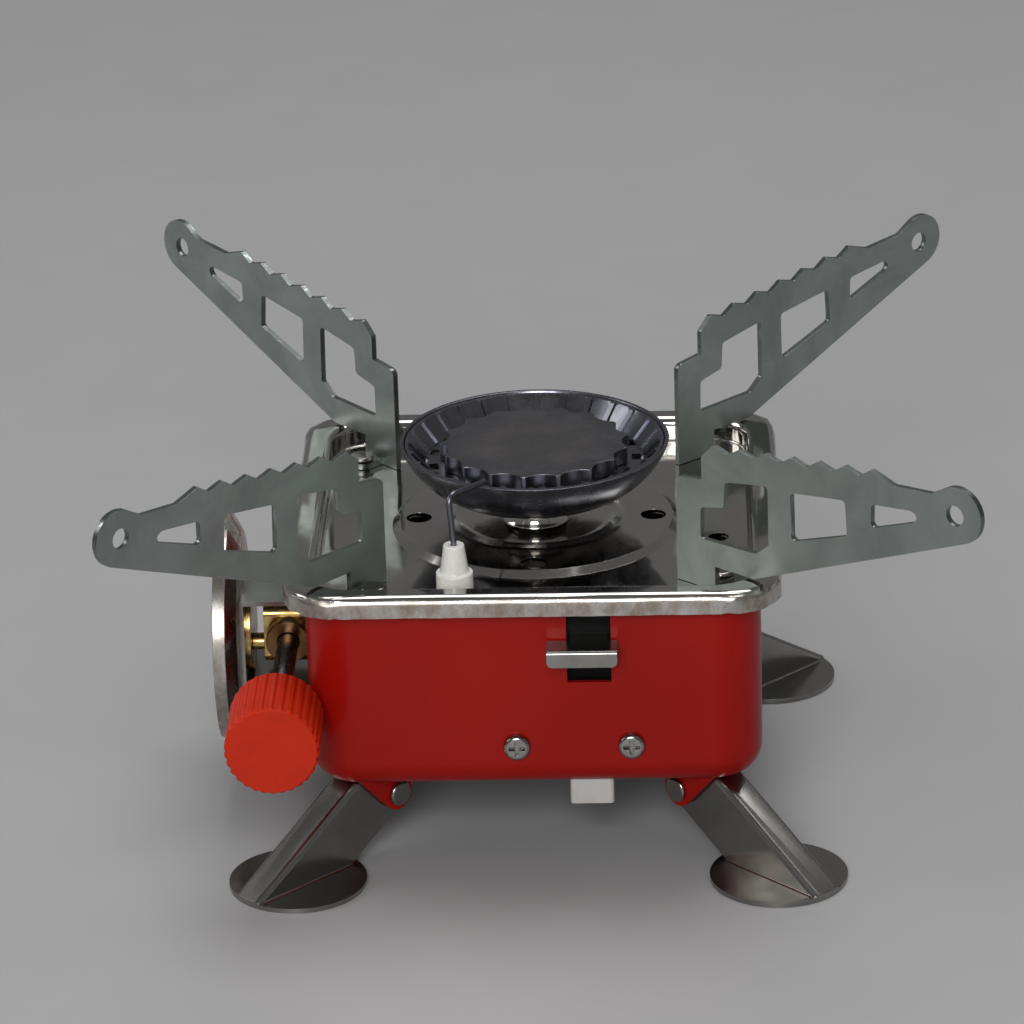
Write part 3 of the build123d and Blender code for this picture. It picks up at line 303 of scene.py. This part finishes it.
def glazed_ceramic(name, tint):
    glaze = Finish(name)
    stain = glaze.noise(330, 5, 0.65).band(0.55, 0.85)
    pit = glaze.noise(1400, 2)
    glaze.set(Base_Color=glaze.mix(stain, tint, (tint[0] * 0.80, tint[1] * 0.74, tint[2] * 0.62)),
              Roughness=0.22 + stain * 0.25, IOR=1.55, Coat_Weight=0.3, Coat_Roughness=0.1,
              Normal=glaze.bump(pit, 0.02 * MM, 0.5))


def matt_rubber(name, tint):
    rubber = Finish(name)
    bloom = rubber.noise(240, 5, 0.6).band(0.45, 0.8)
    rubber.set(Base_Color=rubber.mix(bloom, tint, toned(tint, 2.6)), Roughness=0.62 + bloom * 0.2,
               Normal=rubber.bump(rubber.noise(1500, 3), 0.02 * MM, 0.6))


FINISHES = {
    "red_paint": (gloss_paint, "gloss_red_paint", "paint"),
    "mirror_steel": (polished_steel, "polished_tray_steel", "tray"),
    "bright_steel": (pressed_steel, "pressed_leg_steel", "steel"),
    "zinc_steel": (zinc_plate, "zinc_plated_steel", "zinc"),
    "dark_steel": (heated_steel, "heat_darkened_steel", "burner"),
    "brass": (turned_brass, "turned_brass", "brass"),
    "cast_alloy": (cast_metal, "cast_alloy_grey", "alloy"),
    "orange_plastic": (moulded_plastic, "moulded_orange_plastic", "knob"),
    "white_plastic": (moulded_plastic, "moulded_white_plastic", "case"),
    "white_ceramic": (glazed_ceramic, "glazed_white_ceramic", "ceramic"),
    "black_rubber": (matt_rubber, "matt_black_rubber", "rubber"),
}
EXTRAS = {
    "sheared_zinc_edge": (sheared_edge, "zinc"),
    # Near-black painted shade on the lever's faces behind its slot, where the body's inside lies in shadow.
    "blackened_guard": (painted_shade_skin, "black"),
    # Near-black painted shade on the shell's inside faces, where the body's inside lies in shadow.
    "dull_shell_inside": (painted_shade_skin, "inside_shade"),
    # Dark brown painted shade on the gland nut's front face.
    "tarnished_brass": (turned_brass, "tarnish"),
}


# Modelling

def clear_selection():
    if bpy.context.object and bpy.context.object.mode != "OBJECT":
        bpy.ops.object.mode_set(mode="OBJECT")
    bpy.ops.object.select_all(action="DESELECT")


def take(piece):
    """Makes a piece the only one that the operators act on."""
    clear_selection()
    piece.select_set(True)
    bpy.context.view_layer.objects.active = piece


def apply(piece, name, kind, **settings):
    """Adds a modifier to a piece and applies it."""
    take(piece)
    modifier = piece.modifiers.new(name, kind)
    for key, value in settings.items():
        setattr(modifier, key, value)
    bpy.ops.object.modifier_apply(modifier=modifier.name)


def copied(node, name):
    """A copy of a CAD node, merged and with its flat faces whole, still in edit mode."""
    piece = bpy.data.objects.new(name, frame["nodes"][node].data.copy())
    bpy.context.scene.collection.objects.link(piece)
    take(piece)
    bpy.ops.mesh.customdata_custom_splitnormals_clear()
    bpy.ops.object.mode_set(mode="EDIT")
    bpy.ops.mesh.select_all(action="SELECT")
    bpy.ops.mesh.remove_doubles(threshold=MERGE)
    bpy.ops.mesh.dissolve_limited(angle_limit=FLAT)
    return piece


def pick(piece, kind, wanted):
    """Selects those vertices, edges or faces of a piece in edit mode that a test wants."""
    bpy.ops.mesh.select_mode(type={"verts": "VERT", "edges": "EDGE", "faces": "FACE"}[kind])
    bpy.ops.mesh.select_all(action="DESELECT")
    mesh = bmesh.from_edit_mesh(piece.data)
    for part in getattr(mesh, kind):
        if wanted(part):
            part.select_set(True)
    bmesh.update_edit_mesh(piece.data)


def slice_picked(piece, wanted, normal, places):
    """Cuts the wanted faces of a piece across by planes at the given places along a normal."""
    for place in places:
        pick(piece, "faces", wanted)
        bpy.ops.mesh.bisect(plane_co=Vector(normal) * place, plane_no=normal)


def group_picked(piece, name, wanted):
    """Keeps the wanted vertices as a vertex group."""
    pick(piece, "verts", wanted)
    piece.vertex_groups.new(name=name)
    bpy.ops.object.vertex_group_assign()


def dented(piece, group, pattern, grain, depth):
    """Pushes a vertex group in and out by a pattern, up to a depth each way."""
    texture = bpy.data.textures.new(f"{piece.name}_{group}", pattern)
    texture.noise_scale = grain
    apply(piece, "Dents", "DISPLACE", texture=texture, texture_coords="LOCAL", vertex_group=group,
          strength=2.0 * depth, mid_level=0.5)


def paint_faces(piece, finish, wanted):
    """Gives the wanted faces of a piece a second finish."""
    piece.data.materials.append(bpy.data.materials[finish])
    take(piece)
    bpy.ops.object.mode_set(mode="EDIT")
    pick(piece, "faces", wanted)
    piece.active_material_index = len(piece.data.materials) - 1
    bpy.ops.object.material_slot_assign()
    clear_selection()


def rounded(piece, width, segments=2, angle=32.0):
    """Rounds the sharp edges of a piece and smooths its shading."""
    clear_selection()
    apply(piece, "Round", "BEVEL", width=width, segments=segments, limit_method="ANGLE",
          angle_limit=math.radians(angle), use_clamp_overlap=True, miter_outer="MITER_ARC")
    take(piece)
    bpy.ops.object.shade_smooth_by_angle(angle=SMOOTH)
    apply(piece, "Even", "WEIGHTED_NORMAL", keep_sharp=True)


def stands_for(piece, node):
    """Puts a finished piece in the place of its CAD node."""
    slot = SLOT[node]
    piece.data.materials.clear()
    piece.data.materials.append(bpy.data.materials[FINISHES[slot][1]])
    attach(piece, frame["nodes"][node]["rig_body"])
    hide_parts(node)


def soften(node, name, width, segments=2):
    """The usual piece: a rounded copy of its CAD node."""
    piece = copied(node, name)
    rounded(piece, width, segments)
    stands_for(piece, node)
    return piece


# Properties

def length(name, description, default):
    return bpy.props.FloatProperty(name=name, description=description, default=default, min=0.0,
                                   subtype="DISTANCE", unit="LENGTH", precision=5)


def colour(name, description, default):
    return bpy.props.FloatVectorProperty(name=name, description=description, default=default, size=3,
                                         min=0.0, max=1.0, subtype="COLOR")


def power(name, description, default):
    return bpy.props.FloatProperty(name=name, description=description, default=default, min=0.0, unit="POWER")


def angle(name, description, degrees):
    return bpy.props.FloatProperty(name=name, description=description, default=math.radians(degrees),
                                   subtype="ANGLE")


class StoveColours(bpy.types.PropertyGroup):
    """Colours of the stove's finishes."""
    paint: colour("Paint", "Red of the body shell", (0.31, 0.0045, 0.002))
    tray: colour("Tray", "Polished stainless of the tray", (0.53, 0.51, 0.48))
    steel: colour("Steel", "Pressed steel of the legs", (0.33, 0.32, 0.30))
    zinc: colour("Zinc", "Zinc plate of the pot supports", (0.35, 0.39, 0.37))
    burner: colour("Burner", "Heat-darkened burner steel", (0.17, 0.165, 0.17))
    brass: colour("Brass", "Valve brass", (0.52, 0.36, 0.15))
    # Colour of the painted shade on the gland nut's front face.
    tarnish: colour("Tarnish", "Brown face of the gland nut", (0.16, 0.085, 0.035))
    # Colour of the painted shade on the lever's faces behind the slot.
    black: colour("Black", "Blackened guard behind the lever's slot", (0.002, 0.002, 0.002))
    # Colour of the painted shade on the shell's inside faces.
    inside_shade: colour("Primer", "Dull inside of the shell", (0.020, 0.016, 0.015))
    alloy: colour("Alloy", "Cast mixing tube", (0.46, 0.46, 0.45))
    knob: colour("Knob", "Orange knob", (0.52, 0.020, 0.0015))
    case: colour("Case", "White igniter case", (0.50, 0.49, 0.46))
    ceramic: colour("Ceramic", "White insulator", (0.78, 0.77, 0.73))
    rubber: colour("Rubber", "Black seals and lead", (0.016, 0.016, 0.017))


class StoveSizes(bpy.types.PropertyGroup):
    """Roundings and small shapes that the finished pieces get."""
    shell_edge: length("Shell edge", "Rounding of the painted shell's cut edges", 0.20 * MM)
    sheet_edge: length("Sheet edge", "Rounding of cut steel sheet", 0.14 * MM)
    turned_edge: length("Turned edge", "Rounding of turned and moulded pieces", 0.25 * MM)
    rivet_dome: length("Rivet dome", "Rounding of the rivets' heads", 0.55 * MM)
    lip_wave: length("Lip wave", "Unevenness of the tray's folded lip", 0.16 * MM)
    wave_grain: length("Wave grain", "Width of the lip's waves", 7.0 * MM)
    lip_crimp: length("Lip crimp", "Depth of the folds at the tray's corners", 0.45 * MM)
    crimp_grain: length("Crimp grain", "Width of the corners' folds", 4.0 * MM)
    lip_step: length("Lip step", "Distance between the cuts across the tray's lip", 3.0 * MM)
    foot_fillet: length("Foot fillet", "Where a leg's channel runs out into its foot", 1.6 * MM)


class StoveStage(bpy.types.PropertyGroup):
    """Floor, light and camera."""
    floor: colour("Floor", "Colour of the floor", (0.38, 0.38, 0.385))
    front_power: power("Front", "Power of the front lamp", 9.0)
    top_power: power("Top", "Power of the lamp above", 7.5)
    side_power: power("Side", "Power of the left lamp", 3.5)
    sky: bpy.props.FloatProperty(name="Sky", description="Strength of the light all round", default=0.30)
    distance: length("Distance", "Camera from its target", 1.09966)
    lens: bpy.props.FloatProperty(name="Lens", description="Focal length", default=195.23,
                                  subtype="DISTANCE_CAMERA")
    azimuth: angle("Azimuth", "Way that the camera looks along the ground", -2.067)
    elevation: angle("Elevation", "Camera above the horizon", 22.746)
    roll: angle("Roll", "Turn of the picture", -1.631)
    target: bpy.props.FloatVectorProperty(name="Target", description="Point at the picture's centre", size=3,
                                          default=(-0.004769, 0.0, 0.057917), subtype="XYZ", unit="LENGTH")


# Operators

class STOVE_OT_finishes(bpy.types.Operator):
    """Makes the finishes and gives each CAD node its own"""
    bl_idname = "stove.finishes"
    bl_label = "Finishes"

    def execute(self, context):
        tints = context.scene.stove_colours
        for make, name, tint in FINISHES.values():
            make(name, tuple(getattr(tints, tint)))
        for name, (make, tint) in EXTRAS.items():
            make(name, tuple(getattr(tints, tint)))
        for node, piece in frame["nodes"].items():
            for slot in piece.material_slots:
                slot.material = bpy.data.materials[FINISHES[SLOT[node]][1]]
        return {"FINISHED"}


class STOVE_OT_shell(bpy.types.Operator):
    """Painted body shell with rounded cut edges; its inside faces are painted near-black as painted shade"""
    bl_idname = "stove.shell"
    bl_label = "Body shell"

    def execute(self, context):
        shell = soften("body_shell", "painted_shell", context.scene.stove_sizes.shell_edge)
        # The shell's inside faces get near-black painted shade, standing in for the shadow inside the body.
        paint_faces(shell, "dull_shell_inside", self.looks_in)
        return {"FINISHED"}

    def looks_in(self, face):
        middle = face.calc_center_median()
        flat = Vector((middle.x, middle.y, 0.0))
        return middle.z > SHELL_FLANGE and face.normal.dot(flat) < -0.3 * flat.length


class STOVE_OT_tray(bpy.types.Operator):
    """Polished tray with an uneven folded lip"""
    bl_idname = "stove.tray"
    bl_label = "Tray"

    def execute(self, context):
        sizes = context.scene.stove_sizes
        tray = copied("top_tray", "polished_tray")
        count = int(LIP_REACH / sizes.lip_step) + 1
        steps = [step * sizes.lip_step for step in range(-count, count + 1)]
        slice_picked(tray, self.on_lip, (1.0, 0.0, 0.0), steps)
        slice_picked(tray, self.on_lip, (0.0, 1.0, 0.0), steps)
        slice_picked(tray, self.on_lip, (0.0, 0.0, 1.0), [LIP_TOP - cut for cut in LIP_CUTS])
        group_picked(tray, "lip", lambda vertex: self.beyond(vertex) and vertex.co.z < LIP_TOP - LIP_ROLL)
        group_picked(tray, "corners", lambda vertex: self.beyond(vertex) and self.in_corner(vertex))
        clear_selection()
        dented(tray, "lip", "CLOUDS", sizes.wave_grain, sizes.lip_wave)
        dented(tray, "corners", "VORONOI", sizes.crimp_grain, sizes.lip_crimp)
        rounded(tray, sizes.sheet_edge)
        stands_for(tray, "top_tray")
        return {"FINISHED"}

    def beyond(self, vertex):
        return max(abs(vertex.co.x), abs(vertex.co.y)) > LIP_INSIDE

    def on_lip(self, face):
        return all(self.beyond(vertex) for vertex in face.verts)

    def in_corner(self, vertex):
        return min(abs(vertex.co.x), abs(vertex.co.y)) > LIP_CORNER and vertex.co.z < LIP_TOP - CORNER_ROLL


class STOVE_OT_legs(bpy.types.Operator):
    """Pressed legs and the rivets that they fold on"""
    bl_idname = "stove.legs"
    bl_label = "Legs"

    def execute(self, context):
        sizes = context.scene.stove_sizes
        for corner in CORNERS:
            leg = copied(f"leg_{corner}", f"pressed_leg_{corner}")
            pick(leg, "edges", self.meets_foot)
            bpy.ops.mesh.bevel(offset=sizes.foot_fillet, segments=4, affect="EDGES", clamp_overlap=True)
            rounded(leg, sizes.sheet_edge)
            stands_for(leg, f"leg_{corner}")
        soften("leg_rivets", "domed_leg_rivets", sizes.rivet_dome, 4)
        return {"FINISHED"}

    def meets_foot(self, edge):
        low = all(abs(vertex.co.z - FOOT_TOP) < 0.1 * MM for vertex in edge.verts)
        return low and len(edge.link_faces) == 2 and edge.calc_face_angle_signed() < -0.3


class STOVE_OT_supports(bpy.types.Operator):
    """Toothed pot supports and their rivets"""
    bl_idname = "stove.supports"
    bl_label = "Pot supports"

    def execute(self, context):
        sizes = context.scene.stove_sizes
        for corner in CORNERS:
            blade = soften(f"pot_support_{corner}", f"toothed_blade_{corner}", sizes.sheet_edge)
            flat = max(blade.data.polygons, key=lambda face: face.area).normal.copy()
            paint_faces(blade, "sheared_zinc_edge", lambda face: abs(face.normal.dot(flat)) < 0.6)
        soften("support_rivets", "domed_blade_rivets", sizes.rivet_dome, 4)
        return {"FINISHED"}


class STOVE_OT_burner(bpy.types.Operator):
    """Burner bowl, ribbed ring, cap and collar"""
    bl_idname = "stove.burner"
    bl_label = "Burner"

    def execute(self, context):
        edge = context.scene.stove_sizes.sheet_edge
        for node in ("burner_bowl", "flame_ring", "burner_cap", "burner_collar"):
            soften(node, f"rounded_{node}", edge)
        return {"FINISHED"}


class STOVE_OT_valve(bpy.types.Operator):
    """Gas valve, its knob, and the connector on the left; the gland nut's front face is painted dark brown as
    painted shade
    """
    bl_idname = "stove.valve"
    bl_label = "Valve and connector"

    def execute(self, context):
        sizes = context.scene.stove_sizes
        for node in ("control_knob", "valve_body", "valve_stem", "connector_nose"):
            soften(node, f"rounded_{node}", sizes.turned_edge)
        gland = soften("gland_nut", "turned_gland_nut", sizes.turned_edge)
        # The gland nut's front-facing faces get dark brown painted shade.
        paint_faces(gland, "tarnished_brass", lambda face: face.normal.y < -0.9)
        for node in ("connector_flange", "connector_bracket", "bracket_rivets", "inlet_tube"):
            soften(node, f"rounded_{node}", sizes.sheet_edge)
        return {"FINISHED"}


class STOVE_OT_igniter(bpy.types.Operator):
    """Igniter lever, case and screws; the lever's faces behind the slot are painted near-black as painted
    shade
    """
    bl_idname = "stove.igniter"
    bl_label = "Igniter"

    def execute(self, context):
        sizes = context.scene.stove_sizes
        for node in ("igniter_case", "igniter_screws", "igniter_bracket"):
            soften(node, f"rounded_{node}", sizes.sheet_edge)
        lever = soften("igniter_lever", "bent_lever", sizes.sheet_edge)
        # The lever's faces behind the slot get near-black painted shade, standing in for the shadow inside
        # the body.
        paint_faces(lever, "blackened_guard", lambda face: face.calc_center_median().y > SHELL_FRONT)
        return {"FINISHED"}


class STOVE_OT_electrode(bpy.types.Operator):
    """Spark electrode: insulator and bent wire"""
    bl_idname = "stove.electrode"
    bl_label = "Electrode"

    def execute(self, context):
        sizes = context.scene.stove_sizes
        soften("electrode_insulator", "glazed_insulator", sizes.turned_edge)
        soften("electrode_wire", "bent_electrode", sizes.sheet_edge)
        return {"FINISHED"}


class STOVE_OT_stage(bpy.types.Operator):
    """Floor, lamps and camera"""
    bl_idname = "stove.stage"
    bl_label = "Stage"

    def execute(self, context):
        stage = context.scene.stove_stage
        self.make_floor(stage)
        self.make_sky(context.scene, stage)
        for side, lamp in LAMPS.items():
            self.make_lamp(f"{side}_lamp", getattr(stage, f"{side}_power"), **lamp)
        self.make_camera(context.scene, stage)
        context.scene.view_settings.view_transform = "Standard"
        return {"FINISHED"}

    def make_floor(self, stage):
        clear_selection()
        bpy.ops.mesh.primitive_circle_add(vertices=96, radius=FLOOR_RADIUS, fill_type="NGON")
        floor = bpy.context.object
        floor.name = "floor"
        paper = Finish("pale_floor")
        grain = paper.noise(40, 4).band(0.3, 0.7)
        paper.set(Base_Color=paper.mix(grain, stage.floor, toned(stage.floor, 0.97)), Roughness=0.55)
        floor.data.materials.append(paper.material)

    def make_sky(self, scene, stage):
        world = bpy.data.worlds.new("studio")
        world.use_nodes = True
        scene.world = world
        tree = world.node_tree
        place = tree.nodes.new("ShaderNodeTexCoord")
        split = tree.nodes.new("ShaderNodeSeparateXYZ")
        ramp = tree.nodes.new("ShaderNodeValToRGB")
        ramp.color_ramp.elements[0].color = HORIZON
        ramp.color_ramp.elements[1].color = ZENITH
        tree.links.new(place.outputs["Generated"], split.inputs[0])
        tree.links.new(split.outputs["Z"], ramp.inputs[0])
        tree.links.new(ramp.outputs[0], tree.nodes["Background"].inputs["Color"])
        tree.nodes["Background"].inputs["Strength"].default_value = stage.sky

    def make_lamp(self, name, power, size, place):
        lamp = bpy.data.lights.new(name, "AREA")
        lamp.energy = power
        lamp.size = size
        holder = bpy.data.objects.new(name, lamp)
        holder.location = place
        holder.rotation_euler = (AIM - Vector(place)).to_track_quat("-Z", "Y").to_euler()
        bpy.context.scene.collection.objects.link(holder)

    def make_camera(self, scene, stage):
        camera = bpy.data.cameras.new("camera")
        camera.lens = stage.lens
        camera.sensor_width = 36.0
        camera.clip_start = 0.05
        holder = bpy.data.objects.new("camera", camera)
        scene.collection.objects.link(holder)
        flat = math.cos(stage.elevation)
        ahead = Vector((math.sin(stage.azimuth), math.cos(stage.azimuth), 0.0))
        look = ahead * flat - Vector((0.0, 0.0, math.sin(stage.elevation)))
        level = Vector((math.cos(stage.azimuth), -math.sin(stage.azimuth), 0.0))
        over = level.cross(look)
        right = level * math.cos(stage.roll) + over * math.sin(stage.roll)
        up = over * math.cos(stage.roll) - level * math.sin(stage.roll)
        turn = Matrix((right, up, -look)).transposed().to_4x4()
        holder.matrix_world = Matrix.Translation(Vector(stage.target) - look * stage.distance) @ turn
        scene.camera = holder


class STOVE_PT_panel(bpy.types.Panel):
    """Buttons and values of the stove"""
    bl_label = "Stove"
    bl_idname = "STOVE_PT_panel"
    bl_space_type = "VIEW_3D"
    bl_region_type = "UI"
    bl_category = "Stove"

    def draw(self, context):
        for step in STEPS:
            self.layout.operator(step.bl_idname)
        for group in (context.scene.stove_colours, context.scene.stove_sizes, context.scene.stove_stage):
            column = self.layout.column()
            for name in group.bl_rna.properties.keys():
                if name not in ("rna_type", "name"):
                    column.prop(group, name)


STEPS = (STOVE_OT_finishes, STOVE_OT_shell, STOVE_OT_tray, STOVE_OT_legs, STOVE_OT_supports, STOVE_OT_burner,
         STOVE_OT_valve, STOVE_OT_igniter, STOVE_OT_electrode, STOVE_OT_stage)
GROUPS = {"stove_colours": StoveColours, "stove_sizes": StoveSizes, "stove_stage": StoveStage}


def register():
    for kind in (*GROUPS.values(), *STEPS, STOVE_PT_panel):
        bpy.utils.register_class(kind)
    for name, kind in GROUPS.items():
        setattr(bpy.types.Scene, name, bpy.props.PointerProperty(type=kind))


def unregister():
    for name in GROUPS:
        delattr(bpy.types.Scene, name)
    for kind in (STOVE_PT_panel, *reversed(STEPS), *GROUPS.values()):
        bpy.utils.unregister_class(kind)


def main():
    register()
    bpy.ops.stove.finishes()
    bpy.ops.stove.shell()
    bpy.ops.stove.tray()
    bpy.ops.stove.legs()
    bpy.ops.stove.supports()
    bpy.ops.stove.burner()
    bpy.ops.stove.valve()
    bpy.ops.stove.igniter()
    bpy.ops.stove.electrode()
    bpy.ops.stove.stage()


if __name__ == "__main__":
    main()
